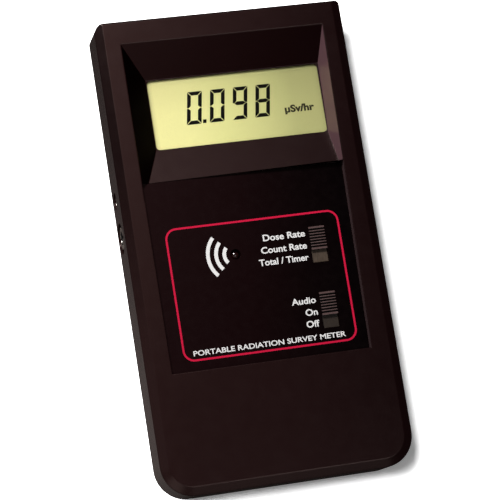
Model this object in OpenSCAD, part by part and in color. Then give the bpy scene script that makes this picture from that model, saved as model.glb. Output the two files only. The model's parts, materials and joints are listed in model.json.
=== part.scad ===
// Hand-held geiger counter with a pancake detector tube behind a rear screen.
// Units are millimetres. The back lies on Z = 0, the display end is +Y, X = 0 is the middle.

/* [Case] */
// Overall width of the case
body_w = 80; // [78:0.5:84]
// Overall length of the case
body_l = 150; // [149:0.5:154]
// Height of the face above the back
body_h = 30; // [30:0.1:30.4]
// Height of the joint line between the two case halves
seam_z = 15.5; // [15.3:0.1:15.7]
// Corner radius at the lower end
bottom_r = 10; // [9:0.5:12]
// Corner radius at the display end, left side
top_left_r = 3.6; // [1:0.1:4]
// Corner radius at the display end, right side
top_right_r = 1.5; // [1:0.1:4]
// Width of the shallow bevel around the face
bevel_w = 2.7; // [2:0.1:3.2]
// Drop of the shallow bevel around the face
bevel_h = 1.0; // [0.5:0.1:1.5]
// Thickness of the side walls
wall = 2.2; // [2:0.1:2.3]
// How far the back half leans in towards the back
draft = 3.1; // [2.6:0.1:3.4]

/* [Display] */
// Height of the display window opening
window_z = 23.4; // [23.2:0.1:23.6]
// Left edge of the window
window_x0 = -25; // [-25.5:0.1:-24.5]
// Right edge of the window
window_x1 = 30.8; // [30.4:0.1:31.1]
// Lower edge of the window
window_y0 = 33.9; // [33.5:0.1:34.3]
// Upper edge of the window
window_y1 = 56.4; // [56:0.1:56.8]
// Upper edge of the sunken area
rim_y1 = 67.7; // [67:0.1:68.2]

/* [Control panel] */
// Height of the sunken panel floor
panel_z = 27.6; // [27.4:0.1:27.8]
// Lower edge of the sunken panel
panel_y0 = -37.5; // [-38:0.1:-37]
// Line where the panel meets the display slope
crease_y = 22.8; // [22:0.1:23.5]
// Middle of both switch slots across the panel
slot_x = 20.7; // [20:0.1:21.5]
// Width of a switch slot
slot_w = 5.3; // [5.2:0.1:5.6]
// Length of a switch slot
slot_l = 11.5; // [11.5:0.1:12]
// Upper end of the mode switch slot
mode_y = 3.05; // [2.5:0.05:3.5]
// Upper end of the power switch slot
power_y = -17.9; // [-18.4:0.1:-17.4]
// Length of a switch knob
knob_l = 7.3; // [7:0.1:7.3]
// Count light position across the panel
light_x = -6.15; // [-7:0.05:-5.5]
// Count light position along the panel
light_y = -2.7; // [-3.5:0.1:-2]

/* [Detector tube] */
// Outer radius of the pancake tube
tube_r = 26.5; // [26:0.1:26.8]
// Thickness of the pancake tube
tube_h = 12.7; // [12.4:0.1:12.8]
// Position of the tube along the case
tube_y = 38; // [37.5:0.1:38.3]
// Radius of the screened opening in the back
screen_r = 22.5; // [21:0.1:22.8]

/* [Jacks] */
// Bore radius of the output jack
output_bore_r = 1.8; // [1.75:0.01:1.85]
// Output jack position along the case
output_y = 7.7; // [7.4:0.1:8]
// Bore radius of the input jack
input_bore_r = 1.3; // [1.25:0.01:1.35]
// Input jack position along the case
input_y = 19.8; // [19.6:0.1:20]
// Height of the middle of the output jack
jack_z = 21.1; // [21:0.1:21.2]

/* [Battery] */
// Length of the battery without its terminals
battery_l = 46.4; // [45:0.1:46.6]
// Width of the battery
battery_w = 26.5; // [25.5:0.1:26.5]
// Thickness of the battery
battery_t = 17.5; // [16.5:0.1:17.5]

/* [Hidden] */
$fn = 72;
hw = body_w / 2;
hl = body_l / 2;
top_y = hl;
ceil_z = panel_z - 1.8;
input_z = jack_z - 0.5;
frame_t = 0.5;
lens_z = window_z - frame_t - 0.8;
board_z = 17.0;
board_t = 1.6;
board_top = board_z + board_t;
floor_z = 2.0;
film_z = panel_z + 0.25;
knob_w = slot_w - 0.2;
knob_top = film_z + 0.45;
guide_z = panel_z - 0.5;
face_drop = (body_h - window_z);
tube_z = 2.2;
case_screw_xy = [[-33.2, -62], [33.2, -62], [-32.5, 66], [32.5, 66]];
board_screw_xy = [[-33.5, -31], [33.5, -31], [-33.5, 30], [33.5, 24]];
button_x = [-22, -13, -4];
button_z = 14;
end_outer = top_y - 0.65;
end_t = 1.6;
door_y1 = -39.8;

front_prof = [[0.25, seam_z], [0, seam_z + 0.25], [0, body_h - bevel_h], [bevel_w, body_h]];
rear_prof = [[draft + 1.3, 0], [draft, 1.2], [0, seam_z - 0.25], [0.25, seam_z]];
front_hollow = [[wall, seam_z - 1], [wall, ceil_z]];
rear_hollow = [[draft + wall - 0.2, floor_z], [wall, seam_z], [wall, seam_z + 1]];

// ---------- helpers ----------

// A shape drawn in X-Z, run along Y from y0 to y1
module run_y(y0, y1) {
    translate([0, y1, 0]) rotate([90, 0, 0]) linear_extrude(y1 - y0) children();
}

// A shape drawn in Y-Z, run along X from x0 to x1
module run_x(x0, x1) {
    translate([x0, 0, 0]) rotate([90, 0, 90]) linear_extrude(x1 - x0) children();
}

module box(x0, x1, y0, y1, z0, z1) {
    translate([x0, y0, z0]) cube([x1 - x0, y1 - y0, z1 - z0]);
}

module rod_x(x0, x1, y, z, r) {
    translate([x0, y, z]) rotate([0, 90, 0]) cylinder(r = r, h = x1 - x0);
}

module rod_y(x, y0, y1, z, r) {
    translate([x, y1, z]) rotate([90, 0, 0]) cylinder(r = r, h = y1 - y0);
}

module rod_z(x, y, z0, z1, r) {
    translate([x, y, z0]) cylinder(r = r, h = z1 - z0);
}

// Plate with round corners
module round_plate(x0, x1, y0, y1, z0, z1, r) {
    box(x0 + r, x1 - r, y0, y1, z0, z1);
    box(x0, x1, y0 + r, y1 - r, z0, z1);
    for (x = [x0 + r, x1 - r], y = [y0 + r, y1 - r]) rod_z(x, y, z0, z1, r);
}

// Solid whose edge follows a list of [inset, height] points on both sides and the lower end
module slab(prof, y1) {
    n = len(prof);
    z0 = prof[0][1];
    z1 = prof[n - 1][1];
    run_y(-(hl - bottom_r), y1) polygon(concat(
        [for (p = prof) [-(hw - p[0]), p[1]]],
        [for (i = [n - 1:-1:0]) [hw - prof[i][0], prof[i][1]]]));
    run_x(-(hw - bottom_r), hw - bottom_r) polygon(concat(
        [for (p = prof) [-(hl - p[0]), p[1]]], [[-40, z1], [-40, z0]]));
    for (s = [-1, 1]) translate([s * (hw - bottom_r), -(hl - bottom_r), 0])
        rotate_extrude() polygon(concat([[0, z0]],
            [for (p = prof) [bottom_r - p[0], p[1]]], [[0, z1]]));
}

// Cutter that rounds one upright corner at the display end
module corner_cut(s, r) {
    difference() {
        translate([s > 0 ? hw - r : -hw - 0.5, hl - r, -1]) cube([r + 0.5, r + 0.5, body_h + 2]);
        rod_z(s * (hw - r), hl - r, -2, body_h + 2, r);
    }
}

module corner_cuts() {
    corner_cut(-1, top_left_r);
    corner_cut(1, top_right_r);
}

module front_outer() {
    difference() {
        slab(front_prof, top_y);
        corner_cuts();
        run_x(-hw - 1, hw + 1) difference() {
            translate([hl - 0.9, body_h - 0.9]) square(1.5);
            translate([hl - 0.9, body_h - 0.9]) circle(0.9);
        }
    }
}

module rear_outer() {
    difference() {
        slab(rear_prof, top_y);
        corner_cuts();
        run_x(-hw - 1, hw + 1) polygon([[hl - 1, -0.01], [hl + 0.1, -0.01], [hl + 0.1, 1.1]]);
    }
}

// The sloped hollow down to the display window
module display_funnel() {
    k = (body_h + 1 - window_z) / face_drop;
    e = 0.25;
    intersection() {
        run_y(10, 75) polygon([[window_x0 - e, window_z], [window_x0 - e - (7.5 - e) * k, body_h + 1],
            [50, body_h + 1], [50, window_z]]);
        translate([window_x1 + e, 45, 0]) rotate([0, 0, -0.9]) run_y(-40, 35)
            polygon([[-70, window_z], [0.2, window_z], [0.2 + (1.9 - e) * k, body_h + 1],
                [-70, body_h + 1]]);
        run_x(-45, 45) polygon([[window_y0 - e, window_z], [window_y1 + e, window_z],
            [window_y1 + e + (rim_y1 - window_y1 - e) * k, body_h + 1],
            [window_y0 - e - (window_y0 - e - crease_y) * (body_h + 1 - window_z) / (panel_z - window_z),
                body_h + 1]]);
    }
}

// ---------- case ----------

module front_case() {
    color([0.10, 0.075, 0.075]) difference() {
        union() {
            difference() {
                front_outer();
                slab(front_hollow, 72.6);
            }
            box(-34, 35.2, 24, 70, window_z - frame_t, ceil_z + 0.6);
            for (p = case_screw_xy) intersection() {
                rod_z(p[0], p[1], seam_z, ceil_z + 0.5, 3.2);
                front_outer();
            }
            for (p = board_screw_xy) rod_z(p[0], p[1], board_top, ceil_z + 0.5, 2.6);
        }
        display_funnel();
        round_plate(window_x0, window_x1 + 0.1, window_y0, window_y1, 20, window_z + 0.5, 1.3);
        // sunken panel, slightly narrower at its lower end
        translate([0, 0, panel_z]) linear_extrude(5) polygon([[-32.07, panel_y0], [31.62, panel_y0],
            [32.57, crease_y], [-32.36, crease_y]]);
        for (y = [mode_y, power_y])
            box(slot_x - slot_w / 2, slot_x + slot_w / 2, y - slot_l, y, ceil_z - 1, panel_z + 1);
        rod_z(light_x, light_y, ceil_z - 1, panel_z + 1, 1.65);
        for (p = case_screw_xy) rod_z(p[0], p[1], seam_z - 1, seam_z + 7.5, 1.15);
        for (p = board_screw_xy) rod_z(p[0], p[1], board_top - 1, board_top + 5, 1.0);
        rod_x(-hw - 1, -hw + 4, output_y, jack_z, 4.9);
        rod_x(-hw - 1, -hw + 4, input_y, input_z, 2.7);
        box(-32.5, 32.5, 70, hl + 1, seam_z - 1, 23.5);
        box(-33.7, 33.7, 70.5, end_outer + 0.05, seam_z - 1, 24.7);
    }
}

module rear_case() {
    color([0.10, 0.08, 0.08]) difference() {
        union() {
            difference() {
                rear_outer();
                slab(rear_hollow, 72.6);
            }
            for (p = case_screw_xy) intersection() {
                rod_z(p[0], p[1], 0.5, seam_z, 4.2);
                rear_outer();
            }
            // rails that hold the battery door
            for (s = [-1, 1]) intersection() {
                box(s > 0 ? 24 : -28.4, s > 0 ? 28.4 : -24, -73, door_y1 + 1.5, 0, 3.4);
                rear_outer();
            }
            // wall between battery bay and electronics
            box(-30, 30, -41.9, -40.4, 1.5, 13);
        }
        box(-25.1, 25.1, -hl - 1, door_y1, -1, 2.15);
        box(-24.9, 24.9, -71.2, -41.9, 1, 6);
        box(-26.15, 26.15, -hl - 1, door_y1, 0.95, 2.15);
        rod_z(0, tube_y, -1, 3, screen_r);
        rod_z(0, tube_y, 1.0, 3, 24.5);
        for (p = case_screw_xy) {
            rod_z(p[0], p[1], -1, seam_z + 1, 1.6);
            rod_z(p[0], p[1], -1, 8, 3.0);
        }
        box(-32.5, 32.5, 70, hl + 1, 4.5, seam_z + 1);
        box(-33.7, 33.7, 70.5, end_outer + 0.05, 3.3, seam_z + 1);
    }
}

module end_panel() {
    color([0.10, 0.08, 0.08]) difference() {
        box(-33.5, 33.5, end_outer - end_t, end_outer, 3.5, 24.5);
        for (x = button_x) rod_y(x, 70, 76, button_z, 2.2);
        box(10.2, 19.6, 70, 76, button_z - 2.1, button_z + 2.1);
    }
}

module battery_door() {
    color([0.10, 0.08, 0.08]) difference() {
        intersection() {
            union() {
                box(-24.9, 24.9, -hl, door_y1 - 0.2, 0.2, 2.0);
                box(-26.0, 26.0, -hl, door_y1 - 0.2, 1.1, 2.0);
            }
            rear_outer();
        }
        // grip grooves for a thumb
        for (i = [0:3]) box(-7, 7, -48.5 - i * 1.8, -47.6 - i * 1.8, -1, 0.7);
    }
}

module case_screws() {
    color([0.55, 0.55, 0.56]) for (p = case_screw_xy) translate([p[0], p[1], 0]) difference() {
        union() {
            translate([0, 0, 6.2]) cylinder(r = 2.6, h = 1.8);
            translate([0, 0, 8]) cylinder(r = 1.1, h = 13);
        }
        translate([-0.4, -1.7, 5.5]) cube([0.8, 3.4, 1.7]);
        translate([-1.7, -0.4, 5.5]) cube([3.4, 0.8, 1.7]);
    }
}

// ---------- display ----------

module display_lens() {
    color([0.85, 0.88, 0.86, 0.4])
        round_plate(-27.5, 33.4, 31.5, 58.8, lens_z, window_z - frame_t, 1);
}

module lcd_glass() {
    color([0.80, 0.79, 0.50]) box(-28, 34, 30.5, 60, lens_z - 2.1, lens_z - 0.3);
}

module lcd_bezel() {
    color([0.16, 0.16, 0.17]) difference() {
        box(-30, 36, 28.6, 62, board_top, lens_z - 0.05);
        box(-28.1, 34.1, 30.4, 60.1, board_top - 1, lens_z - 0.25);
        box(-26.8, 32.6, 32.2, 58.2, 20, 23);
    }
}

module zebra_strips() {
    color([0.45, 0.45, 0.47]) for (y = [30.8, 57.7])
        box(-26, 32, y, y + 2, board_top, lens_z - 2.1);
}

module panel_overlay() {
    color([0.06, 0.05, 0.055]) difference() {
        translate([0, 0, panel_z]) linear_extrude(film_z - panel_z) polygon([[-31.9, panel_y0 + 0.2],
            [31.45, panel_y0 + 0.2], [32.35, crease_y - 0.15], [-32.2, crease_y - 0.15]]);
        for (y = [mode_y, power_y])
            box(slot_x - slot_w / 2, slot_x + slot_w / 2, y - slot_l, y, 25, 30);
        rod_z(light_x, light_y, 25, 30, 1.65);
    }
}

// ---------- electronics ----------

module main_board() {
    color([0.10, 0.32, 0.20]) difference() {
        box(-36.8, 36.8, -37, 65, board_z, board_top);
        for (p = case_screw_xy) rod_z(p[0], p[1], board_z - 1, board_top + 1, 4.6);
        for (p = board_screw_xy) rod_z(p[0], p[1], board_z - 1, board_top + 1, 1.3);
    }
}

module board_screws() {
    color([0.70, 0.70, 0.68]) for (p = board_screw_xy) translate([p[0], p[1], 0]) difference() {
        union() {
            translate([0, 0, board_z - 1.4]) cylinder(r = 2.1, h = 1.4);
            translate([0, 0, board_z]) cylinder(r = 0.95, h = 6);
        }
        translate([-1.4, -0.3, board_z - 2]) cube([2.8, 0.6, 1.3]);
    }
}

module microcontroller() {
    color([0.07, 0.07, 0.08]) {
        box(-4, 8, -18, -6, board_top + 0.1, board_top + 1.6);
        for (i = [0:10]) {
            box(-5.4, -4, -17.2 + i * 1.02, -16.8 + i * 1.02, board_top, board_top + 0.8);
            box(8, 9.4, -17.2 + i * 1.02, -16.8 + i * 1.02, board_top, board_top + 0.8);
        }
    }
}

module logic_chip(x, y) {
    box(x - 2, x + 2, y - 2.5, y + 2.5, board_top + 0.1, board_top + 1.5);
    for (i = [0:3]) for (s = [-1, 1])
        box(s > 0 ? x + 2 : x - 3, s > 0 ? x + 3 : x - 2, y - 2.1 + i * 1.27,
            y - 1.7 + i * 1.27, board_top, board_top + 0.7);
}

module logic_chips() {
    color([0.07, 0.07, 0.08]) {
        logic_chip(-16, 8);
        logic_chip(-16, 18);
        logic_chip(4, 14);
        logic_chip(30, -12);
    }
}

module crystal() {
    color([0.72, 0.72, 0.74]) round_plate(-10, -6.5, -19, -8, board_top, board_top + 3.4, 1.7);
}

module hv_transformer() {
    color([0.75, 0.62, 0.15]) {
        box(-8, 6, -34, -23, board_top, board_top + 1.2);
        box(-8, 6, -34, -32.8, board_top + 1.2, board_top + 6.2);
        box(-8, 6, -24.2, -23, board_top + 1.2, board_top + 6.2);
        rod_y(-1, -32.8, -24.2, board_top + 3.8, 2.5);
    }
}

module hv_capacitors() {
    color([0.20, 0.30, 0.55]) for (p = [[11.5, -33], [11.5, -26.5], [28.5, -21], [28.5, -28]])
        rod_z(p[0], p[1], board_top, board_top + 6, 2.4);
}

module chip_resistors() {
    color([0.15, 0.15, 0.16]) for (i = [0:5]) {
        box(12 + 0, 13.2, -16 + i * 3, -14 + i * 3, board_top, board_top + 0.6);
        box(-14, -12.8, -14 + i * 2.9, -12 + i * 2.9, board_top, board_top + 0.6);
    }
}

module beeper() {
    color([0.06, 0.06, 0.06]) difference() {
        rod_z(-21, -24, board_top, board_top + 6, 8);
        rod_z(-21, -24, board_top + 4.6, board_top + 7, 1.2);
    }
}

module count_light() {
    color([0.25, 0.05, 0.05]) {
        rod_z(light_x, light_y, 21.4, 25.6, 1.5);
        translate([light_x, light_y, 25.6]) sphere(r = 1.5);
        rod_z(light_x, light_y, 21, 22, 1.9);
        for (s = [-1, 1]) rod_z(light_x + s * 1.27, light_y, board_top, 21, 0.3);
    }
}

// Slide switch that reaches from the board to just under the panel
module switch_body(y) {
    yc = y - slot_l / 2;
    color([0.62, 0.60, 0.56]) difference() {
        union() {
            box(slot_x - 3.3, slot_x + 3.3, yc - 7.4, yc + 7.4, board_top, ceil_z - 0.2);
            box(slot_x - slot_w / 2 + 0.1, slot_x + slot_w / 2 - 0.1, y - slot_l + 0.1, y - 0.1,
                ceil_z - 0.5, guide_z);
        }
        box(slot_x - 1.3, slot_x + 1.3, y - 6.9, y - 0.35, 21.5, guide_z + 1);
    }
}

// Ridged knob, drawn at the upper end of its slot
module switch_knob(y) {
    y1 = y - 0.1;
    z0 = guide_z + 0.1;
    color([0.12, 0.10, 0.10]) difference() {
        union() {
            box(slot_x - knob_w / 2, slot_x + knob_w / 2, y1 - knob_l, y1, z0, knob_top);
            box(slot_x - 1.1, slot_x + 1.1, y1 - 2.6, y1 - 0.5, 22.5, z0 + 0.2);
        }
        for (i = [1:7]) run_x(slot_x - 5, slot_x + 5)
            translate([y1 - i * knob_l / 8, 0]) polygon([[-0.31, knob_top + 0.01],
                [-0.25, knob_top - 0.6], [0.25, knob_top - 0.6], [0.31, knob_top + 0.01]]);
    }
}

module mode_switch_body() { switch_body(mode_y); }
module power_switch_body() { switch_body(power_y); }
module mode_switch_knob() { switch_knob(mode_y); }
module power_switch_knob() { switch_knob(power_y); }

// ---------- end panel controls ----------

module button_board() {
    color([0.10, 0.32, 0.20]) box(-27.5, 27.5, 66, 67.5, 5, 21.5);
}

module button_switches() {
    color([0.10, 0.10, 0.11]) for (x = button_x) {
        box(x - 3, x + 3, 67.5, 69.7, button_z - 3, button_z + 3);
        rod_y(x, 69.7, 70.2, button_z, 1.4);
    }
}

module push_button(x) {
    color([0.16, 0.16, 0.17]) {
        rod_y(x, 71.6, top_y - 0.05, button_z, 2.1);
        rod_y(x, 70.9, 71.7, button_z, 2.9);
    }
}

module minus_button() { push_button(button_x[0]); }
module plus_button() { push_button(button_x[1]); }
module set_button() { push_button(button_x[2]); }

module timer_switch_body() {
    color([0.62, 0.60, 0.56]) difference() {
        box(7.5, 22.3, 67.5, 72.4, button_z - 3.3, button_z + 3.3);
        box(10.4, 19.4, 69, 73, button_z - 1, button_z + 1);
    }
}

module timer_switch_knob() {
    color([0.12, 0.10, 0.10]) difference() {
        union() {
            box(10.4, 15.4, 72.55, top_y - 0.05, button_z - 1.95, button_z + 1.95);
            box(11.4, 14.4, 69.6, 73, button_z - 0.8, button_z + 0.8);
        }
        for (i = [1:5]) box(10.4 + i * 5 / 6 - 0.16, 10.4 + i * 5 / 6 + 0.16, top_y - 0.5, top_y + 1,
            button_z - 3, button_z + 3);
    }
}

// ---------- jacks ----------

module output_jack() {
    color([0.10, 0.10, 0.10]) difference() {
        union() {
            box(-36.9, -24.5, output_y - 4, output_y + 4, board_top + 0.05, 24.2);
            rod_x(-39.5, -36.9, output_y, jack_z, 2.3);
        }
        rod_x(-41, -26.5, output_y, jack_z, output_bore_r);
    }
}

module output_jack_nut() {
    color([0.78, 0.78, 0.76]) difference() {
        rod_x(-39.7, -37.3, output_y, jack_z, 3.5);
        rod_x(-41, -36, output_y, jack_z, 2.35);
        // two slots for a pin spanner
        box(-41, -39, output_y - 0.4, output_y + 0.4, jack_z - 6, jack_z + 6);
        box(-41, -39, output_y - 6, output_y + 6, jack_z - 0.4, jack_z + 0.4);
    }
}

module input_jack() {
    color([0.10, 0.10, 0.10]) difference() {
        union() {
            box(-36.9, -27, input_y - 3, input_y + 3, board_top + 0.05, 22.7);
            rod_x(-38.4, -36.9, input_y, input_z, 1.75);
        }
        rod_x(-41, -28.5, input_y, input_z, input_bore_r);
    }
}

module input_jack_collar() {
    color([0.78, 0.78, 0.76]) difference() {
        rod_x(-39.4, -37.3, input_y, input_z, 2.5);
        rod_x(-41, -36, input_y, input_z, 2.05);
    }
}

// ---------- detector tube ----------

module tube_body() {
    color([0.70, 0.70, 0.71]) difference() {
        rod_z(0, tube_y, tube_z, tube_z + tube_h, tube_r);
        rod_z(0, tube_y, tube_z + 0.7, tube_z + tube_h - 0.7, tube_r - 0.7);
        rod_z(0, tube_y, tube_z - 1, tube_z + 1, 22.2);
        rod_x(20, 30, tube_y, 9, 1.7);
    }
}

module tube_window() {
    color([0.65, 0.62, 0.55]) rod_z(0, tube_y, tube_z + 0.7, tube_z + 0.9, 23.6);
}

module tube_anode() {
    color([0.60, 0.60, 0.62]) {
        translate([0, tube_y, 9]) rotate_extrude() translate([15, 0]) circle(0.4);
        rod_x(15, 28.8, tube_y, 9, 0.4);
    }
}

module tube_insulator() {
    color([0.85, 0.84, 0.80]) difference() {
        union() {
            rod_x(24.4, 27.4, tube_y, 9, 1.6);
            rod_x(26.8, 27.6, tube_y, 9, 2.4);
        }
        rod_x(20, 30, tube_y, 9, 0.45);
    }
}

module anode_clip() {
    color([0.80, 0.70, 0.35]) difference() {
        box(27.9, 30.4, tube_y - 1.2, tube_y + 1.2, 7.8, 10.2);
        rod_x(27, 29.2, tube_y, 9, 0.45);
    }
}

module anode_lead() {
    color([0.70, 0.10, 0.10]) {
        rod_z(29.6, tube_y, 10.2, 15.4, 0.6);
        translate([29.6, tube_y, 15.4]) sphere(r = 0.6);
        rod_y(29.6, 29, tube_y, 15.4, 0.6);
        translate([29.6, 29, 15.4]) sphere(r = 0.6);
        rod_z(29.6, 29, 15.4, board_z, 0.6);
    }
}

module tube_gasket() {
    color([0.20, 0.20, 0.21]) difference() {
        rod_z(0, tube_y, 1.55, tube_z, 24.3);
        rod_z(0, tube_y, 1, 3, 22.6);
    }
}

module tube_pad() {
    color([0.25, 0.25, 0.27]) difference() {
        rod_z(0, tube_y, tube_z + tube_h, board_z, 24);
        rod_z(0, tube_y, tube_z + tube_h - 1, board_z + 1, 14);
    }
}

// Thin steel screen with square holes over the tube's window
module detector_screen() {
    step = 3.6;
    color([0.62, 0.62, 0.62]) difference() {
        rod_z(0, tube_y, 1.05, 1.5, 24.3);
        for (i = [-5:5], j = [-5:5]) if (norm([i * step, j * step]) < 19.6)
            box(i * step - 1.45, i * step + 1.45, tube_y + j * step - 1.45, tube_y + j * step + 1.45,
                0, 3);
    }
}

// ---------- power ----------

module battery() {
    color([0.25, 0.27, 0.30]) translate([-24.2, -70.4, 2.5])
        cube([battery_l, battery_w, battery_t]);
}

module battery_terminals() {
    color([0.80, 0.80, 0.78]) {
        difference() {
            rod_x(battery_l - 24.2, battery_l - 22, -63.5, 11.2, 4.0);
            rod_x(battery_l - 23.6, battery_l - 20, -63.5, 11.2, 3.1);
        }
        rod_x(battery_l - 24.2, battery_l - 22, -50.8, 11.2, 2.8);
    }
}

module battery_snap() {
    color([0.07, 0.07, 0.07]) difference() {
        box(battery_l - 22, 27.8, -69.4, -45, 6.5, 16);
        rod_x(0, battery_l - 20.5, -50.8, 11.2, 3.0);
    }
}

module battery_leads() {
    for (i = [0, 1]) color(i == 0 ? [0.75, 0.08, 0.08] : [0.08, 0.08, 0.08]) {
        rod_y(24.9 + i * 2.2, -45, -38.5, 14.4, 0.7);
        translate([24.9 + i * 2.2, -38.5, 14.4]) sphere(r = 0.7);
        rod_z(24.9 + i * 2.2, -38.5, 14.4, 15.6, 0.7);
        translate([24.9 + i * 2.2, -38.5, 15.6]) sphere(r = 0.7);
        rod_y(24.9 + i * 2.2, -38.5, -35.5, 15.6, 0.7);
        translate([24.9 + i * 2.2, -35.5, 15.6]) sphere(r = 0.7);
        rod_z(24.9 + i * 2.2, -35.5, 15.6, board_z, 0.7);
    }
}

module battery_pad() {
    color([0.25, 0.25, 0.27]) box(-20, 18, -68, -46, battery_t + 2.7, ceil_z - 0.1);
}

front_case();
rear_case();
end_panel();
battery_door();
case_screws();
display_lens();
panel_overlay();
lcd_glass();
lcd_bezel();
zebra_strips();
main_board();
board_screws();
microcontroller();
logic_chips();
crystal();
hv_transformer();
hv_capacitors();
chip_resistors();
beeper();
count_light();
mode_switch_body();
mode_switch_knob();
power_switch_body();
power_switch_knob();
button_board();
button_switches();
plus_button();
minus_button();
set_button();
timer_switch_body();
timer_switch_knob();
output_jack();
output_jack_nut();
input_jack();
input_jack_collar();
tube_body();
tube_window();
tube_anode();
tube_insulator();
anode_clip();
anode_lead();
tube_gasket();
tube_pad();
detector_screen();
battery();
battery_terminals();
battery_snap();
battery_leads();
battery_pad();
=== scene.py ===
import json
import math

import bmesh
import bpy
from mathutils import Matrix, Vector


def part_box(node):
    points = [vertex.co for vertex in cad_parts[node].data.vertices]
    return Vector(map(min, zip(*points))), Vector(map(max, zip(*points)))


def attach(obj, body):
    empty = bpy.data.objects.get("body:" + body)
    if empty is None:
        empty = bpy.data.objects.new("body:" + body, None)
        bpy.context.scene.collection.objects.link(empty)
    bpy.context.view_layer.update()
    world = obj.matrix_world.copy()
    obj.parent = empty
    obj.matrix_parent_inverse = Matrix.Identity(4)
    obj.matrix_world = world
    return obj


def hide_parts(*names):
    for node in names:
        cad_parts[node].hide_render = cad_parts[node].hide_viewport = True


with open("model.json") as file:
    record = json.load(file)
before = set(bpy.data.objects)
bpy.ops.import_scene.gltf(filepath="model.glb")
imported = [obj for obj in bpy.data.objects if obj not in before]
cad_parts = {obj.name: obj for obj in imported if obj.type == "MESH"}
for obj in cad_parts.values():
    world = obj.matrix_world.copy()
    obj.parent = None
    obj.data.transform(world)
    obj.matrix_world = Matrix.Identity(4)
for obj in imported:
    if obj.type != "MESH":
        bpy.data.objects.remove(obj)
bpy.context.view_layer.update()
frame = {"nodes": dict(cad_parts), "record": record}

scene = bpy.context.scene
N = frame["nodes"]
MM = 0.001


# ------------------------------------------------------------------ materials

def set_in(node, name, value):
    if name in node.inputs:
        node.inputs[name].default_value = value


class Mat:
    """A small helper around one procedural material with a Principled shader."""

    def __init__(self, name):
        self.m = bpy.data.materials.new(name)
        self.m.use_nodes = True
        self.t = self.m.node_tree
        self.t.nodes.clear()
        self.out = self.t.nodes.new("ShaderNodeOutputMaterial")
        self.bsdf = self.t.nodes.new("ShaderNodeBsdfPrincipled")
        self.t.links.new(self.bsdf.outputs[0], self.out.inputs[0])
        self.tc = self.t.nodes.new("ShaderNodeTexCoord")
        self.normal = None

    def set(self, **kw):
        for k, v in kw.items():
            set_in(self.bsdf, k.replace("_", " "), v)
        return self

    def link(self, a, b):
        self.t.links.new(a, b)

    def noise(self, scale, detail=3.0, rough=0.55, stretch=None, distortion=0.0):
        n = self.t.nodes.new("ShaderNodeTexNoise")
        set_in(n, "Scale", scale)
        set_in(n, "Detail", detail)
        set_in(n, "Roughness", rough)
        set_in(n, "Distortion", distortion)
        if stretch:
            mp = self.t.nodes.new("ShaderNodeMapping")
            mp.inputs["Scale"].default_value = stretch
            self.link(self.tc.outputs["Object"], mp.inputs[0])
            self.link(mp.outputs[0], n.inputs["Vector"])
        else:
            self.link(self.tc.outputs["Object"], n.inputs["Vector"])
        return n.outputs[0]

    def voronoi(self, scale, randomness=1.0):
        n = self.t.nodes.new("ShaderNodeTexVoronoi")
        set_in(n, "Scale", scale)
        set_in(n, "Randomness", randomness)
        self.link(self.tc.outputs["Object"], n.inputs["Vector"])
        return n.outputs["Distance"]

    def ramp(self, src, stops):
        r = self.t.nodes.new("ShaderNodeValToRGB")
        e = r.color_ramp.elements
        e[0].position, e[1].position = stops[0][0], stops[-1][0]
        c = lambda v: (v[0], v[1], v[2], 1.0) if isinstance(v, (tuple, list)) else (v, v, v, 1.0)
        e[0].color, e[1].color = c(stops[0][1]), c(stops[-1][1])
        for pos, col in stops[1:-1]:
            e.new(pos).color = c(col)
        self.link(src, r.inputs[0])
        return r.outputs[0]

    def color(self, src):
        self.link(src, self.bsdf.inputs["Base Color"])
        return self

    def rough(self, src, lo, hi, a=0.3, b=0.7):
        self.link(self.ramp(src, [(a, lo), (b, hi)]), self.bsdf.inputs["Roughness"])
        return self

    def bump(self, src, distance, strength=1.0):
        b = self.t.nodes.new("ShaderNodeBump")
        set_in(b, "Strength", strength)
        set_in(b, "Distance", distance)
        self.link(src, b.inputs["Height"])
        if self.normal is not None:
            self.link(self.normal, b.inputs["Normal"])
        self.normal = b.outputs[0]
        self.link(self.normal, self.bsdf.inputs["Normal"])
        return self

    def axis(self, name, lo, hi):
        """0 to 1 along one object axis, from lo to hi in metres."""
        s = self.t.nodes.new("ShaderNodeSeparateXYZ")
        self.link(self.tc.outputs["Object"], s.inputs[0])
        m = self.t.nodes.new("ShaderNodeMapRange")
        m.inputs["From Min"].default_value = lo
        m.inputs["From Max"].default_value = hi
        self.link(s.outputs[name], m.inputs[0])
        return m.outputs[0]

    def mixcol(self, fac, a, b, mode="MIX"):
        m = self.t.nodes.new("ShaderNodeMix")
        m.data_type = "RGBA"
        m.blend_type = mode
        if isinstance(fac, (int, float)):
            m.inputs[0].default_value = fac
        else:
            self.link(fac, m.inputs[0])
        for sock, v in ((m.inputs[6], a), (m.inputs[7], b)):
            if isinstance(v, (tuple, list)):
                sock.default_value = (v[0], v[1], v[2], 1.0)
            else:
                self.link(v, sock)
        return m.outputs[2]


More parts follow.
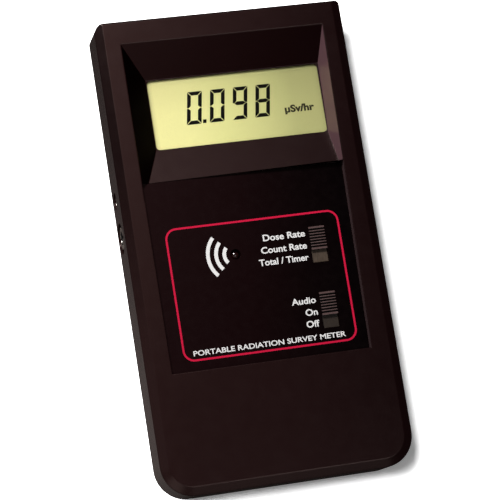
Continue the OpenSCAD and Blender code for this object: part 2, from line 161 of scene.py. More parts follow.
def make_case_plastic():
    """Warm black moulded ABS: spark-eroded grain, faint cloudiness, fine scuffs; painted shade from left to right, on
    one sunken wall and on the long bevels, and painted light on the sunken walls that face left.
    """
    k = Mat("case_plastic")
    k.set(Metallic=0.0, IOR=1.46, Specular_IOR_Level=0.40, Specular_Tint=(1.0, 0.74, 0.69, 1.0))
    edge = k.t.nodes.new("ShaderNodeBevel")
    edge.samples = 6
    edge.inputs["Radius"].default_value = 0.00042
    k.normal = edge.outputs[0]
    cloud = k.noise(55.0, 3.0)
    speck = k.noise(2600.0, 2.0)
    # painted shade: the base colour is lighter at the left and darker towards the right, standing in for light falling
    # off from the left
    base = k.ramp(k.axis("X", -0.040, 0.040), [(0.0, (0.0135, 0.0046, 0.0046)), (0.14, (0.0112, 0.0036, 0.0037)),
                                                 (0.5, (0.0088, 0.0024, 0.0026)), (1.0, (0.0044, 0.0008, 0.0011))])
    base = k.mixcol(k.ramp(cloud, [(0.30, 0.0), (0.70, 0.12)]), base, (0.0120, 0.0048, 0.0050))
    base = k.mixcol(k.ramp(speck, [(0.60, 0.0), (0.78, 0.25)]), base, (0.0150, 0.0070, 0.0075))
    # painted light: the inner walls of the sunken front that face left get a paler tone, standing in for the light from
    # the left falling on them
    geo = k.t.nodes.new("ShaderNodeNewGeometry")
    sep = k.t.nodes.new("ShaderNodeSeparateXYZ")
    k.link(geo.outputs["Normal"], sep.inputs[0])

    def facing(lo, hi, axis="X"):
        f = k.t.nodes.new("ShaderNodeMapRange")
        f.inputs["From Min"].default_value = lo
        f.inputs["From Max"].default_value = hi
        k.link(sep.outputs[axis], f.inputs[0])
        return f.outputs[0]

    def times(*srcs):
        prod = srcs[0]
        for other in srcs[1:]:
            mul = k.t.nodes.new("ShaderNodeMath")
            mul.operation = "MULTIPLY"
            k.link(prod, mul.inputs[0])
            k.link(other, mul.inputs[1])
            prod = mul.outputs[0]
        return prod

    below = k.axis("Z", 0.02990, 0.02975)
    painted_lit_wall = times(facing(-0.60, -0.85), k.axis("X", 0.0300, 0.0304), k.axis("X", 0.0345, 0.0342), below)
    painted_lit_tone = k.ramp(k.axis("Y", 0.0222, 0.0236), [(0.0, (0.080, 0.050, 0.052)), (1.0, (0.124, 0.064, 0.074))])
    # painted shade: the opposite wall, facing right, is painted near black with almost no sheen, and the long bevels
    # are painted darker than the face with half the sheen
    painted_dark_wall = times(facing(0.45, 0.60), k.axis("X", -0.0330, -0.0328), k.axis("X", -0.0242, -0.0246), below)
    bevel = times(facing(0.975, 0.960, "Z"), facing(0.90, 0.92, "Z"), k.axis("Z", 0.0284, 0.0286),
                  facing(-0.30, -0.15, "Y"), k.axis("Y", -0.025, 0.030))
    # the far wall of the sunken front shows less sheen towards the right
    far = times(facing(-0.35, -0.45, "Y"), k.axis("Y", 0.0500, 0.0515), below,
                k.ramp(k.axis("X", -0.030, 0.032), [(0.0, 0.62), (0.4, 0.82), (1.0, 0.95)]))
    base = k.mixcol(bevel, base, (0.0048, 0.0014, 0.0016))
    base = k.mixcol(painted_dark_wall, base, (0.0008, 0.0002, 0.0002))
    k.color(k.mixcol(painted_lit_wall, base, painted_lit_tone))
    # lower sheen on the painted-shade wall and bevels, and on the far wall
    either = k.t.nodes.new("ShaderNodeMath")
    either.operation = "MAXIMUM"
    half = k.t.nodes.new("ShaderNodeMath")
    half.operation = "MULTIPLY"
    half.inputs[1].default_value = 0.50
    k.link(bevel, half.inputs[0])
    k.link(half.outputs[0], either.inputs[0])
    most = k.t.nodes.new("ShaderNodeMath")
    most.operation = "MAXIMUM"
    k.link(painted_dark_wall, most.inputs[0])
    k.link(far, most.inputs[1])
    k.link(most.outputs[0], either.inputs[1])
    k.link(k.ramp(either.outputs[0], [(0.0, 0.42), (1.0, 0.02)]), k.bsdf.inputs["Specular IOR Level"])
    k.rough(k.noise(240.0, 4.0), 0.235, 0.270)
    grain = k.noise(3300.0, 3.0, 0.6)
    k.bump(grain, 0.000022, 0.40)
    k.bump(k.noise(120.0, 2.0), 0.00006, 0.03)
    k.bump(k.noise(900.0, 1.0, 0.4, stretch=(1.0, 0.05, 1.0)), 0.000010, 0.12)
    return k.m


def make_panel_film():
    """Smooth screen-printed film, black with a slightly silky face."""
    k = Mat("overlay_film")
    k.set(Metallic=0.0, IOR=1.45, Specular_IOR_Level=0.13, Specular_Tint=(1.0, 0.70, 0.70, 1.0))
    # painted shade: the film is lighter at the left and darker towards the right, standing in for light falling off
    # from the left
    base = k.ramp(k.axis("X", -0.033, 0.033), [(0.0, (0.0072, 0.0024, 0.0027)), (0.45, (0.0050, 0.0014, 0.0017)), (0.75, (0.0018, 0.0006, 0.0008)), (1.0, (0.0004, 0.0002, 0.0003))])
    base = k.mixcol(k.ramp(k.noise(70.0, 3.0), [(0.3, 0.0), (0.7, 0.10)]), base, (0.0050, 0.0018, 0.0020))
    k.color(base)
    k.rough(k.noise(400.0, 3.0), 0.22, 0.30)
    k.bump(k.noise(5200.0, 2.0), 0.000006, 0.40)
    return k.m


def make_lcd():
    """Reflective yellow-green LCD with painted light, brighter towards the left edge, and painted shadow along its top
    and left margins; with the faint cell pattern.
    """
    k = Mat("lcd")
    k.set(Metallic=0.0, IOR=1.5, Specular_IOR_Level=0.20)
    # painted light: the colour is brightest at the left edge and darker towards the right
    fx = k.axis("X", -0.027, 0.034)
    col = k.ramp(fx, [(0.0, (0.89, 0.835, 0.355)), (0.22, (0.86, 0.82, 0.345)), (0.42, (0.74, 0.725, 0.290)),
                      (0.62, (0.600, 0.590, 0.236)), (0.80, (0.435, 0.430, 0.172)), (1.0, (0.375, 0.37, 0.149))])
    col = k.mixcol(k.ramp(k.noise(1500.0, 2.0), [(0.35, 0.0), (0.75, 0.06)]), col, (0.30, 0.30, 0.12))
    # painted shadow: darker towards the top margin (up) and towards the left margin (side)
    up = k.ramp(k.axis("Y", 0.0336, 0.0566), [(0.0, 1.0), (0.50, 0.95), (0.90, 0.82), (0.965, 0.74), (1.0, 0.50)])
    side = k.ramp(k.axis("X", -0.0253, -0.0230), [(0.0, 0.50), (0.45, 0.86), (1.0, 1.0)])
    col = k.mixcol(1.0, col, up, "MULTIPLY")
    col = k.mixcol(1.0, col, side, "MULTIPLY")
    k.color(col)
    k.rough(k.noise(900.0, 2.0), 0.42, 0.52)
    k.bump(k.noise(2400.0, 2.0), 0.000006, 0.3)
    return k.m


def make_simple(name, c0, c1, rough=(0.35, 0.5), metallic=0.0, ior=1.45, spec=0.5, scale=400.0,
                grain=2500.0, depth=0.00001, strength=0.4, stretch=None, **kw):
    k = Mat(name)
    k.set(Metallic=metallic, IOR=ior, Specular_IOR_Level=spec, **kw)
    k.color(k.ramp(k.noise(scale, 3.0, stretch=stretch), [(0.3, c0), (0.7, c1)]))
    k.rough(k.noise(scale * 1.7, 3.0, stretch=stretch), rough[0], rough[1])
    k.bump(k.noise(grain, 3.0, stretch=stretch), depth, strength)
    return k.m


M = {}
M["case_plastic"] = make_case_plastic()
M["overlay_film"] = make_panel_film()
M["lcd"] = make_lcd()

k = Mat("lens")
k.set(Base_Color=(0.01, 0.01, 0.009, 1.0), Metallic=0.0, IOR=1.49, Alpha=0.035, Specular_IOR_Level=0.5)
k.rough(k.noise(160.0, 2.0), 0.04, 0.09)
M["lens"] = k.m

M["bezel_plastic"] = make_simple("bezel_plastic", (0.020, 0.019, 0.019), (0.030, 0.028, 0.028))
M["rubber"] = make_simple("rubber", (0.012, 0.012, 0.012), (0.022, 0.021, 0.021), rough=(0.6, 0.8))
M["chip"] = make_simple("chip", (0.012, 0.012, 0.013), (0.022, 0.022, 0.023), rough=(0.45, 0.6))
M["steel"] = make_simple("steel", (0.42, 0.41, 0.40), (0.60, 0.59, 0.57), rough=(0.24, 0.40), metallic=1.0,
                         scale=700.0, stretch=(1.0, 8.0, 1.0), depth=0.000006)
M["nickel"] = make_simple("nickel", (0.62, 0.58, 0.52), (0.78, 0.74, 0.68), rough=(0.12, 0.24), metallic=1.0,
                          scale=500.0, depth=0.000004, strength=0.3)
M["transformer"] = make_simple("transformer", (0.42, 0.30, 0.03), (0.55, 0.42, 0.05), rough=(0.35, 0.5))
M["capacitor"] = make_simple("capacitor", (0.02, 0.045, 0.17), (0.03, 0.065, 0.23), rough=(0.22, 0.32))
k = Mat("switch_metal")
k.set(Metallic=0.0, IOR=1.45, Specular_IOR_Level=0.5)
worn = k.ramp(k.noise(600.0, 3.0, stretch=(5.0, 1.0, 1.0)), [(0.3, (0.044, 0.031, 0.022)), (0.7, (0.070, 0.052, 0.037))])
k.color(k.mixcol(1.0, worn, k.ramp(k.axis("Y", -0.0160, -0.0120), [(0.0, (0.30, 0.24, 0.20)), (1.0, (0.90, 0.82, 0.74))]), "MULTIPLY"))
k.rough(k.noise(1000.0, 3.0, stretch=(5.0, 1.0, 1.0)), 0.32, 0.48)
k.bump(k.noise(1800.0, 3.0, stretch=(5.0, 1.0, 1.0)), 0.00001, 0.5)
M["switch_metal"] = k.m

k = Mat("knob_plastic")
k.set(Metallic=0.0, IOR=1.45, Specular_IOR_Level=0.6)
# painted shade: the ridge tops keep the knob's colour, while the groove floors below them are painted nearly black with
# less sheen, standing in for the shadow in the grooves
top = k.axis("Z", 0.02802, 0.02818)
grip = k.ramp(k.noise(700.0, 3.0), [(0.3, (0.068, 0.038, 0.036)), (0.7, (0.090, 0.052, 0.049))])
k.color(k.mixcol(top, (0.0050, 0.0028, 0.0027), grip))
k.link(k.ramp(top, [(0.0, 0.15), (1.0, 0.65)]), k.bsdf.inputs["Specular IOR Level"])
k.rough(k.noise(1190.0, 3.0), 0.28, 0.38)
k.bump(k.noise(2500.0, 3.0), 0.00001, 0.4)
M["knob_plastic"] = k.m
M["button_plastic"] = make_simple("button_plastic", (0.020, 0.017, 0.018), (0.030, 0.026, 0.027), rough=(0.35, 0.48))
M["jack_plastic"] = make_simple("jack_plastic", (0.006, 0.005, 0.005), (0.010, 0.009, 0.009), rough=(0.35, 0.5))
M["tube_steel"] = make_simple("tube_steel", (0.40, 0.40, 0.40), (0.54, 0.54, 0.53), rough=(0.25, 0.38), metallic=1.0)
M["mica"] = make_simple("mica", (0.34, 0.31, 0.25), (0.46, 0.42, 0.34), rough=(0.15, 0.3), metallic=0.6, scale=120.0)
M["ceramic"] = make_simple("ceramic", (0.72, 0.70, 0.65), (0.82, 0.80, 0.75), rough=(0.15, 0.28))
M["brass"] = make_simple("brass", (0.62, 0.42, 0.14), (0.76, 0.54, 0.22), rough=(0.2, 0.35), metallic=1.0)
M["wire"] = make_simple("wire", (0.26, 0.012, 0.012), (0.36, 0.02, 0.02), rough=(0.3, 0.42))
M["foam"] = make_simple("foam", (0.016, 0.016, 0.018), (0.040, 0.040, 0.044), rough=(0.85, 0.95), scale=1400.0,
                        grain=1900.0, depth=0.00012, strength=0.8)

k = Mat("board")
k.set(IOR=1.5, Specular_IOR_Level=0.5)
k.color(k.ramp(k.noise(420.0, 3.0, stretch=(1.0, 0.2, 1.0)), [(0.45, (0.010, 0.080, 0.035)), (0.55, (0.020, 0.145, 0.062))]))
k.rough(k.noise(700.0, 2.0), 0.22, 0.36)
k.bump(k.noise(420.0, 3.0, stretch=(1.0, 0.2, 1.0)), 0.00002, 0.4)
M["board"] = k.m

k = Mat("led")
k.set(IOR=1.5, Specular_IOR_Level=0.6, Transmission_Weight=0.25)
k.color(k.ramp(k.noise(500.0, 2.0), [(0.3, (0.011, 0.003, 0.003)), (0.7, (0.018, 0.006, 0.005))]))
k.rough(k.noise(600.0, 2.0), 0.10, 0.18)
M["led"] = k.m

k = Mat("battery_can")
k.set(IOR=1.5, Specular_IOR_Level=0.5)
band = k.ramp(k.axis("X", -0.0242, 0.0222), [(0.0, (0.03, 0.03, 0.035)), (0.655, (0.03, 0.03, 0.035)), (0.665, (0.42, 0.20, 0.06)), (1.0, (0.46, 0.23, 0.07))])
k.color(k.mixcol(k.ramp(k.noise(300.0, 3.0), [(0.4, 0.0), (0.8, 0.12)]), band, (0.12, 0.10, 0.09)))
k.set(Metallic=0.35)
k.rough(k.noise(500.0, 2.0), 0.26, 0.38)
k.bump(k.noise(900.0, 2.0), 0.00001, 0.3)
M["battery_can"] = k.m

M["print_white"] = make_simple("print_white", (0.70, 0.69, 0.68), (0.78, 0.77, 0.76), rough=(0.45, 0.6), spec=0.3,
                               scale=2500.0, grain=6000.0, depth=0.000004)
M["print_red"] = make_simple("print_red", (0.49, 0.0035, 0.034), (0.58, 0.006, 0.046), rough=(0.42, 0.55), spec=0.14,
                             scale=2500.0, grain=6000.0, depth=0.000004)
M["lcd_ink"] = make_simple("lcd_ink", (0.003, 0.003, 0.002), (0.006, 0.005, 0.004), rough=(0.4, 0.5), spec=0.05,
                           scale=2500.0, grain=5000.0, depth=0.000002)
M["lcd_ink_soft"] = make_simple("lcd_ink_soft", (0.020, 0.018, 0.010), (0.030, 0.027, 0.015), rough=(0.4, 0.5),
                                spec=0.05, scale=2500.0, grain=5000.0, depth=0.000002)

slot_of = {s["node"]: s["material_slot"] for s in frame["record"]["subparts"]}
for name, obj in N.items():
    obj.data.materials.clear()
    obj.data.materials.append(M[slot_of[name]])


# ------------------------------------------------------------------ softened edges on the CAD pieces

def soften(name, width_mm, segments=3, angle=13.0):
    """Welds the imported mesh, dissolves flat triangles and rounds its sharp edges a little."""
    o = N[name]
    w = o.modifiers.new("weld", "WELD")
    w.merge_threshold = 2e-6
    d = o.modifiers.new("planar", "DECIMATE")
    d.decimate_type = "DISSOLVE"
    d.angle_limit = math.radians(0.6)
    b = o.modifiers.new("edge", "BEVEL")
    b.width = width_mm * MM
    b.segments = segments
    b.limit_method = "ANGLE"
    b.angle_limit = math.radians(angle)
    b.use_clamp_overlap = True
    b.harden_normals = True
    b.miter_outer = "MITER_ARC"
    wn = o.modifiers.new("shade", "WEIGHTED_NORMAL")
    wn.keep_sharp = True
    for p in o.data.polygons:
        p.use_smooth = True


for n_, w_ in {"front_case": 0.32, "rear_case": 0.30, "end_panel": 0.15, "battery_door": 0.15,
               "mode_switch_knob": 0.07, "power_switch_knob": 0.07, "timer_switch_knob": 0.07,
               "minus_button": 0.25, "plus_button": 0.25, "set_button": 0.25, "output_jack_nut": 0.12,
               "input_jack_collar": 0.10, "output_jack": 0.12, "input_jack": 0.10, "case_screws": 0.08,
               "battery": 0.8, "mode_switch_body": 0.1, "power_switch_body": 0.1,
               "timer_switch_body": 0.1}.items():
    soften(n_, w_)


# ------------------------------------------------------------------ mesh helpers

def new_object(name, bm, material, body="root", smooth=False):
    me = bpy.data.meshes.new(name)
    bm.normal_update()
    bm.to_mesh(me)
    bm.free()
    o = bpy.data.objects.new(name, me)
    scene.collection.objects.link(o)
    me.materials.append(M[material])
    for p in me.polygons:
        p.use_smooth = smooth
    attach(o, body)
    return o


def prism(bm, pts, z0, z1):
    """A closed solid over one outline of (x, y) points in mm, from z0 to z1 in mm."""
    lo = [bm.verts.new((x * MM, y * MM, z0 * MM)) for x, y in pts]
    hi = [bm.verts.new((x * MM, y * MM, z1 * MM)) for x, y in pts]
    n = len(pts)
    bm.faces.new(list(reversed(lo)))
    bm.faces.new(hi)
    for i in range(n):
        bm.faces.new((lo[i], lo[(i + 1) % n], hi[(i + 1) % n], hi[i]))


def ring(bm, outer, inner, z0, z1):
    """A closed frame between two outlines with the same number of points."""
    n = len(outer)
    v = {}
    for key, pts, z in (("ol", outer, z0), ("oh", outer, z1), ("il", inner, z0), ("ih", inner, z1)):
        v[key] = [bm.verts.new((x * MM, y * MM, z * MM)) for x, y in pts]
    for i in range(n):
        j = (i + 1) % n
        bm.faces.new((v["oh"][i], v["oh"][j], v["ih"][j], v["ih"][i]))
        bm.faces.new((v["ol"][j], v["ol"][i], v["il"][i], v["il"][j]))
        bm.faces.new((v["ol"][i], v["ol"][j], v["oh"][j], v["oh"][i]))
        bm.faces.new((v["il"][j], v["il"][i], v["ih"][i], v["ih"][j]))


def rounded_rect(x0, x1, y0, y1, r, n=10):
    pts = []
    for cx, cy, a0 in ((x1 - r, y1 - r, 0), (x0 + r, y1 - r, 90), (x0 + r, y0 + r, 180), (x1 - r, y0 + r, 270)):
        for i in range(n + 1):
            a = math.radians(a0 + 90 * i / n)
            pts.append((cx + r * math.cos(a), cy + r * math.sin(a)))
    return pts


def text_bmesh(text, bold=0.0):
    cu = bpy.data.curves.new("t", "FONT")
    cu.body = text
    cu.size = 1.0
    cu.offset = bold
    cu.resolution_u = 5
    ob = bpy.data.objects.new("t", cu)
    scene.collection.objects.link(ob)
    bpy.context.view_layer.update()
    dg = bpy.context.evaluated_depsgraph_get()
    me = bpy.data.meshes.new_from_object(ob.evaluated_get(dg))
    bm = bmesh.new()
    bm.from_mesh(me)
    bpy.data.objects.remove(ob)
    bpy.data.curves.remove(cu)
    bpy.data.meshes.remove(me)
    return bm


def extents(bm):
    xs = [v.co.x for v in bm.verts]
    ys = [v.co.y for v in bm.verts]
    return min(xs), max(xs), min(ys), max(ys)


_bm = text_bmesh("H")
CAP = extents(_bm)[3]
_bm.free()


def lettering(name, text, x0, x1, y_base, cap, z, thick, material, bold=0.0, body="root", plane="face"):
    """Generic lettering as thin raised ink: fitted between x0 and x1 (mm), standing on y_base."""
    bm = text_bmesh(text, bold)
    a, b, _, _ = extents(bm)
    sx = (x1 - x0) / (b - a)
    sy = cap / CAP
    for v in bm.verts:
        v.co.x = (x0 + (v.co.x - a) * sx) * MM
        v.co.y = (y_base + v.co.y * sy) * MM
        v.co.z = z * MM
    bmesh.ops.remove_doubles(bm, verts=bm.verts, dist=1e-7)
    bmesh.ops.recalc_face_normals(bm, faces=bm.faces)
    for f in bm.faces:
        if f.normal.z < 0:
            f.normal_flip()
    top = bmesh.ops.extrude_face_region(bm, geom=list(bm.faces))
    for g in top["geom"]:
        if isinstance(g, bmesh.types.BMVert):
            g.co.z += thick * MM
    bmesh.ops.recalc_face_normals(bm, faces=bm.faces)
    if plane == "end":   # stand the text up on the display end's panel, read from outside
        for v in bm.verts:
            x, y, zz = v.co
            v.co = Vector((-x, zz, y))
    return new_object(name, bm, material, body=body)


# ------------------------------------------------------------------ panel printing

film_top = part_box("panel_overlay")[1].z / MM
INK0, INK1 = film_top - 0.01, film_top + 0.025

bm = bmesh.new()
bx0, bx1, by0, by1, bw, br = -27.12, 28.08, -33.98, 7.45, 0.62, 3.3
ring(bm, rounded_rect(bx0 - bw / 2, bx1 + bw / 2, by0 - bw / 2, by1 + bw / 2, br + bw / 2, 14),
     rounded_rect(bx0 + bw / 2, bx1 - bw / 2, by0 + bw / 2, by1 - bw / 2, br - bw / 2, 14), INK0, INK1)
new_object("printed_border", bm, "print_red")

lo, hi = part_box("count_light")
lx, ly = (lo.x + hi.x) / 2 / MM, (lo.y + hi.y) / 2 / MM
bm = bmesh.new()
for r, half in ((3.6, 41.5), (6.2, 43.0), (8.8, 43.0)):
    w = 0.58
    n = 28
    pts = []
    for i in range(n + 1):
        a = math.radians(180 - half + 2 * half * i / n)
        pts.append((lx + (r + w) * math.cos(a), ly + (r + w) * math.sin(a)))
    for i in range(n, -1, -1):
        a = math.radians(180 - half + 2 * half * i / n)
        pts.append((lx + (r - w) * math.cos(a), ly + (r - w) * math.sin(a)))
    prism(bm, pts, INK0, INK1)
new_object("printed_arcs", bm, "print_white")

RX = 16.85
for i, (txt, width, yb) in enumerate((("Dose Rate", 13.6, 0.29), ("Count Rate", 14.8, -3.61), ("Total / Timer", 16.0, -7.41),
                                      ("Audio", 7.8, -21.01), ("On", 3.9, -24.81), ("Off", 4.2, -28.51))):
    lettering("printed_label_%d" % (i + 1), txt, RX - width, RX, yb, 1.95, INK0, INK1 - INK0, "print_white",
              bold=0.022)
lettering("printed_caption", "PORTABLE RADIATION SURVEY METER", -24.15, 24.65, -32.65, 1.55, INK0, INK1 - INK0,
          "print_white", bold=0.018)


# ------------------------------------------------------------------ display figures

lcd_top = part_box("lcd_glass")[1].z / MM
SEG0, SEG1 = lcd_top - 0.01, lcd_top + 0.03
SHEAR = 0.163


def segment(bm, x0, y0, kind, w, h, t, g=0.13):
    """One bar of a seven-segment figure whose lower left corner is (x0, y0)."""
    m = h / 2
    s = t * 0.5
    shapes = {
        "a": [(g, h), (w - g, h), (w - t - g, h - t), (t + g, h - t)],
        "d": [(t + g, t), (w - t - g, t), (w - g, 0), (g, 0)],
        "g": [(g + s * 0.6, m), (t + g, m + s), (w - t - g, m + s), (w - g - s * 0.6, m), (w - t - g, m - s), (t + g, m - s)],
        "f": [(0, h - g), (0, m + g), (s * 0.9, m + g * 0.8), (t, m + s + g), (t, h - t - g)],
        "e": [(0, m - g), (0, g), (t, t + g), (t, m - s - g), (s * 0.9, m - g * 0.8)],
        "b": [(w, m + g), (w, h - g), (w - t, h - t - g), (w - t, m + s + g), (w - s * 0.9, m + g * 0.8)],
        "c": [(w, g), (w, m - g), (w - s * 0.9, m - g * 0.8), (w - t, m - s - g), (w - t, t + g)],
    }
    pts = [(x0 + px + SHEAR * py, y0 + py) for px, py in shapes[kind]]
    area = sum(pts[i][0] * pts[(i + 1) % len(pts)][1] - pts[(i + 1) % len(pts)][0] * pts[i][1] for i in range(len(pts)))
    if area < 0:
        pts.reverse()
    prism(bm, pts, SEG0, SEG1)


FIG = {"0": "abcdef", "9": "abcdfg", "8": "abcdefg"}
bm = bmesh.new()
dx, dy = 0.15, -0.02
for i, ch in enumerate("0098"):
    for kname in FIG[ch]:
        segment(bm, -14.0 + 7.467 * i + dx, 41.3 + dy, kname, 4.80, 10.6, 1.22)
px0 = -8.75 + dx
prism(bm, [(px0, 41.35 + dy), (px0 + 1.15, 41.35 + dy), (px0 + 1.33, 42.55 + dy), (px0 + 0.18, 42.55 + dy)], SEG0, SEG1)
new_object("display_figures", bm, "lcd_ink")
lettering("display_unit", "µSv/hr", 18.35 + dx, 28.1 + dx, 41.9 + dy, 2.15, SEG0, SEG1 - SEG0, "lcd_ink_soft", bold=0.042)


# ------------------------------------------------------------------ woven screen over the detector

lo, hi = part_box("detector_screen")
scx, scy, scz = (lo.x + hi.x) / 2, (lo.y + hi.y) / 2, 1.42 * MM
R_SCREEN = 24.0 * MM
PITCH, WIRE, AMP = 1.25 * MM, 0.19 * MM, 0.17 * MM
bm = bmesh.new()
SIDES = 6
nw = int(R_SCREEN / PITCH)
for along in (0, 1):
    for i in range(-nw, nw + 1):
        off = i * PITCH
        half = math.sqrt(max(R_SCREEN ** 2 - off ** 2, 0.0))
        if half < 2 * PITCH:
            continue
        steps = max(6, int(2 * half / (PITCH / 4)))
        prev = None
        for sidx in range(steps + 1):
            s = -half + 2 * half * sidx / steps
            z = AMP * math.cos(math.pi * s / PITCH) * (1 if (i + along) % 2 == 0 else -1)
            ringv = []
            for q in range(SIDES):
                a = 2 * math.pi * q / SIDES
                u, w = WIRE * math.cos(a), WIRE * math.sin(a)
                if along == 0:
                    ringv.append(bm.verts.new((scx + s, scy + off + u, scz + z + w)))
                else:
                    ringv.append(bm.verts.new((scx + off - u, scy + s, scz + z + w)))
            if prev:
                for q in range(SIDES):
                    bm.faces.new((prev[q], ringv[q], ringv[(q + 1) % SIDES], prev[(q + 1) % SIDES]))
            else:
                bm.faces.new(ringv)
            prev = ringv
        bm.faces.new(list(reversed(prev)))
bmesh.ops.recalc_face_normals(bm, faces=bm.faces)
screen = new_object("woven_screen", bm, "steel", smooth=True)
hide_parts("detector_screen")


# ------------------------------------------------------------------ end panel marks

plo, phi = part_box("end_panel")
ey = phi.y / MM
for nm, node_, kind in (("mark_minus", "minus_button", "-"), ("mark_plus", "plus_button", "+")):
    lo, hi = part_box(node_)
    cx, cz = (lo.x + hi.x) / 2 / MM, (lo.z + hi.z) / 2 / MM + 5.2
    bm = bmesh.new()
    bars = [(-1.1, 1.1, -0.22, 0.22)] + ([(-0.22, 0.22, -1.1, 1.1)] if kind == "+" else [])
    if kind == "+":
        pts = [(-1.1, -0.22), (-0.22, -0.22), (-0.22, -1.1), (0.22, -1.1), (0.22, -0.22), (1.1, -0.22),
               (1.1, 0.22), (0.22, 0.22), (0.22, 1.1), (-0.22, 1.1), (-0.22, 0.22), (-1.1, 0.22)]
    else:
        pts = [(-1.1, -0.22), (1.1, -0.22), (1.1, 0.22), (-1.1, 0.22)]
    lo_ = [bm.verts.new(((cx - x) * MM, (ey - 0.01) * MM, (cz + z) * MM)) for x, z in pts]
    hi_ = [bm.verts.new(((cx - x) * MM, (ey + 0.025) * MM, (cz + z) * MM)) for x, z in pts]
    bm.faces.new(list(reversed(lo_)))
    bm.faces.new(hi_)
    for i in range(len(pts)):
        j = (i + 1) % len(pts)
        bm.faces.new((lo_[i], lo_[j], hi_[j], hi_[i]))
    bmesh.ops.recalc_face_normals(bm, faces=bm.faces)
    new_object(nm, bm, "print_white")


# ------------------------------------------------------------------ camera

# Rows: image right, image up and back towards the camera, in the part's own frame.
RIGHT = Vector((0.96897, -0.15636, 0.19145))
UP = Vector((0.12061, 0.97512, 0.18599))
BACK = Vector((-0.21577, -0.15712, 0.96372))
cam_data = bpy.data.cameras.new("camera")
cam = bpy.data.objects.new("camera", cam_data)
scene.collection.objects.link(cam)
rot = Matrix((RIGHT, UP, BACK)).transposed().to_4x4()
cam.matrix_world = Matrix.Translation(Vector((-144.83, -106.38, 668.49)) * MM) @ rot
cam_data.sensor_width = 36.0
cam_data.lens = 2131.0 / 500.0 * 36.0
cam_data.clip_start = 0.01
cam_data.clip_end = 20.0
scene.camera = cam


# ------------------------------------------------------------------ floor, world, lights

bm = bmesh.new()
bmesh.ops.create_grid(bm, x_segments=8, y_segments=8, size=2.5)
me = bpy.data.meshes.new("floor")
bm.to_mesh(me)
bm.free()
floor = bpy.data.objects.new("floor", me)
scene.collection.objects.link(floor)
floor.location.z = -0.00005


def make_floor():
    """Plain white paper. The camera sees it fully bright, as a studio cut-out would be."""
    m = bpy.data.materials.new("floor")
    m.use_nodes = True
    t = m.node_tree
    t.nodes.clear()
    out = t.nodes.new("ShaderNodeOutputMaterial")
    mix = t.nodes.new("ShaderNodeMixShader")
    lp = t.nodes.new("ShaderNodeLightPath")
    seen = t.nodes.new("ShaderNodeBsdfDiffuse")
    seen.inputs["Color"].default_value = (FLOOR_GAIN, FLOOR_GAIN, FLOOR_GAIN, 1.0)
    glow = t.nodes.new("ShaderNodeEmission")
    glow.inputs["Strength"].default_value = FLOOR_GLOW
    add = t.nodes.new("ShaderNodeAddShader")
    dim = t.nodes.new("ShaderNodeBsdfDiffuse")
    dim.inputs["Color"].default_value = (0.55, 0.55, 0.55, 1.0)
    t.links.new(seen.outputs[0], add.inputs[0])
    t.links.new(glow.outputs[0], add.inputs[1])
    t.links.new(lp.outputs["Is Camera Ray"], mix.inputs[0])
    t.links.new(dim.outputs[0], mix.inputs[1])
    t.links.new(add.outputs[0], mix.inputs[2])
    # the paper is open from below, so the back of the object can be looked at
    geo = t.nodes.new("ShaderNodeNewGeometry")
    clear = t.nodes.new("ShaderNodeBsdfTransparent")
    side = t.nodes.new("ShaderNodeMixShader")
    t.links.new(geo.outputs["Backfacing"], side.inputs[0])
    t.links.new(mix.outputs[0], side.inputs[1])
    t.links.new(clear.outputs[0], side.inputs[2])
    t.links.new(side.outputs[0], out.inputs[0])
    return m


FLOOR_GAIN, FLOOR_GLOW = 1.3, 0.22
me.materials.append(make_floor())
floor.visible_glossy = False

world = bpy.data.worlds.new("world")
scene.world = world
world.use_nodes = True
bg = world.node_tree.nodes["Background"]
nt = world.node_tree
wtc = nt.nodes.new("ShaderNodeTexCoord")
wsep = nt.nodes.new("ShaderNodeSeparateXYZ")
nt.links.new(wtc.outputs["Generated"], wsep.inputs[0])


def world_ramp(axis_name, stops):
    m = nt.nodes.new("ShaderNodeMapRange")
    m.inputs["From Min"].default_value = -1.0
    r = nt.nodes.new("ShaderNodeValToRGB")
    e = r.color_ramp.elements
    e[0].position, e[1].position = (stops[0][0] + 1) / 2, (stops[-1][0] + 1) / 2
    e[0].color = (stops[0][1],) * 3 + (1.0,)
    e[1].color = (stops[-1][1],) * 3 + (1.0,)
    for p, v in stops[1:-1]:
        e.new((p + 1) / 2).color = (v, v, v, 1.0)
    nt.links.new(wsep.outputs[axis_name], m.inputs[0])
    nt.links.new(m.outputs[0], r.inputs[0])
    return r.outputs[0]


sky = nt.nodes.new("ShaderNodeMix")
sky.data_type = "RGBA"
nt.links.new(world_ramp("Z", [(-0.15, 1.0), (0.10, 0.0)]), sky.inputs[0])
sky.inputs[6].default_value = (0.022, 0.022, 0.022, 1.0)
low = nt.nodes.new("ShaderNodeMix")
low.data_type = "RGBA"
low.blend_type = "MULTIPLY"
low.inputs[0].default_value = 1.0
nt.links.new(world_ramp("Y", [(-0.30, 0.10), (-0.16, 0.16), (0.02, 0.20), (0.10, 0.20), (0.17, 0.12), (0.24, 0.075), (0.50, 0.06)]),
             low.inputs[6])
nt.links.new(world_ramp("X", [(-0.02, 1.0), (0.16, 0.14)]), low.inputs[7])
warm = nt.nodes.new("ShaderNodeMix")
warm.data_type = "RGBA"
warm.blend_type = "MULTIPLY"
warm.inputs[0].default_value = 1.0
nt.links.new(low.outputs[2], warm.inputs[6])
warm.inputs[7].default_value = (1.0, 0.84, 0.79, 1.0)
nt.links.new(warm.outputs[2], sky.inputs[7])
nt.links.new(sky.outputs[2], bg.inputs[0])
bg.inputs[1].default_value = 1.0


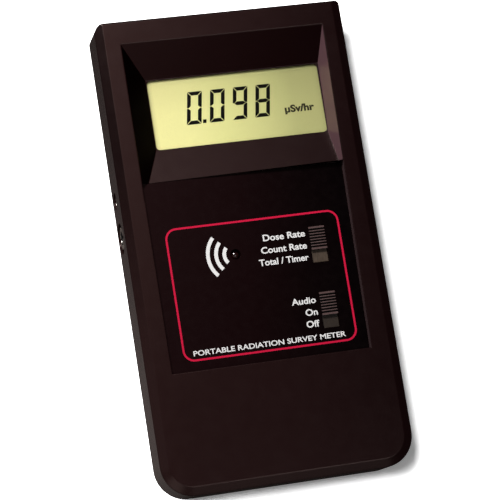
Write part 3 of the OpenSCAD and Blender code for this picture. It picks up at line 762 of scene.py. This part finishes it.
def area(name, loc, target, size, power, color=(1, 1, 1), spread=180.0):
    d = bpy.data.lights.new(name, "AREA")
    d.shape = "RECTANGLE"
    d.size, d.size_y = size
    d.energy = power
    d.color = color
    d.spread = math.radians(spread)
    o = bpy.data.objects.new(name, d)
    scene.collection.objects.link(o)
    o.location = loc
    o.rotation_euler = (Vector(target) - Vector(loc)).to_track_quat("-Z", "Y").to_euler()
    o.visible_camera = False
    return o


paper = bpy.data.collections.new("paper")
scene.collection.children.link(paper)
paper.objects.link(floor)

# The paper has its own light; the others light everything but the paper.
not_paper = bpy.data.collections.new("not_paper")
not_paper.objects.link(floor)
not_paper.collection_objects[0].light_linking.link_state = "EXCLUDE"
not_lcd = bpy.data.collections.new("not_lcd")
for o in (floor, N["lcd_glass"]):
    not_lcd.objects.link(o)
for c in not_lcd.collection_objects:
    c.light_linking.link_state = "EXCLUDE"
main = area("main", (-0.16, 0.42, 0.52), (0.0, 0.0, 0.02), (0.16, 0.16), 5.6)
main.light_linking.receiver_collection = not_lcd
only_lcd = bpy.data.collections.new("only_lcd")
only_lcd.objects.link(N["lcd_glass"])
display = area("display", (-0.30, 0.19, 0.95), (0.0, 0.045, 0.02), (0.30, 0.30), 10.6)
display.light_linking.receiver_collection = only_lcd
for lamp in (
        area("soft_top", (-0.09, 0.40, 0.90), (-0.03, 0.02, 0.02), (0.50, 0.60), 0.50, (1.0, 0.80, 0.76)),
        area("back_top", (0.0, 0.95, 0.72), (0.0, 0.02, 0.02), (0.60, 0.30), 0.22),
        area("low_edge", (0.18, -0.31, 0.84), (0.0, -0.06, 0.02), (0.34, 0.16), 0.72),
        area("low_bevel", (0.20, -0.56, 0.70), (0.0, -0.07, 0.02), (0.34, 0.16), 0.070),
        area("low_corner", (-0.32, -0.456, 0.79), (-0.037, -0.072, 0.03), (0.36, 0.36), 0.36, (1.0, 0.97, 0.95)),
        area("left_bevel", (-0.50, -0.03, 0.80), (-0.038, -0.045, 0.03), (0.16, 0.20), 0.040)):
    lamp.light_linking.receiver_collection = not_paper
over = area("over_floor", (-0.565, 0.12, 1.40), (0.0, 0.0, 0.0), (0.40, 0.40), 60.0)
over.light_linking.receiver_collection = paper

scene.view_settings.view_transform = "Standard"
scene.view_settings.look = "None"
scene.view_settings.exposure = 0.0
scene.view_settings.gamma = 1.0
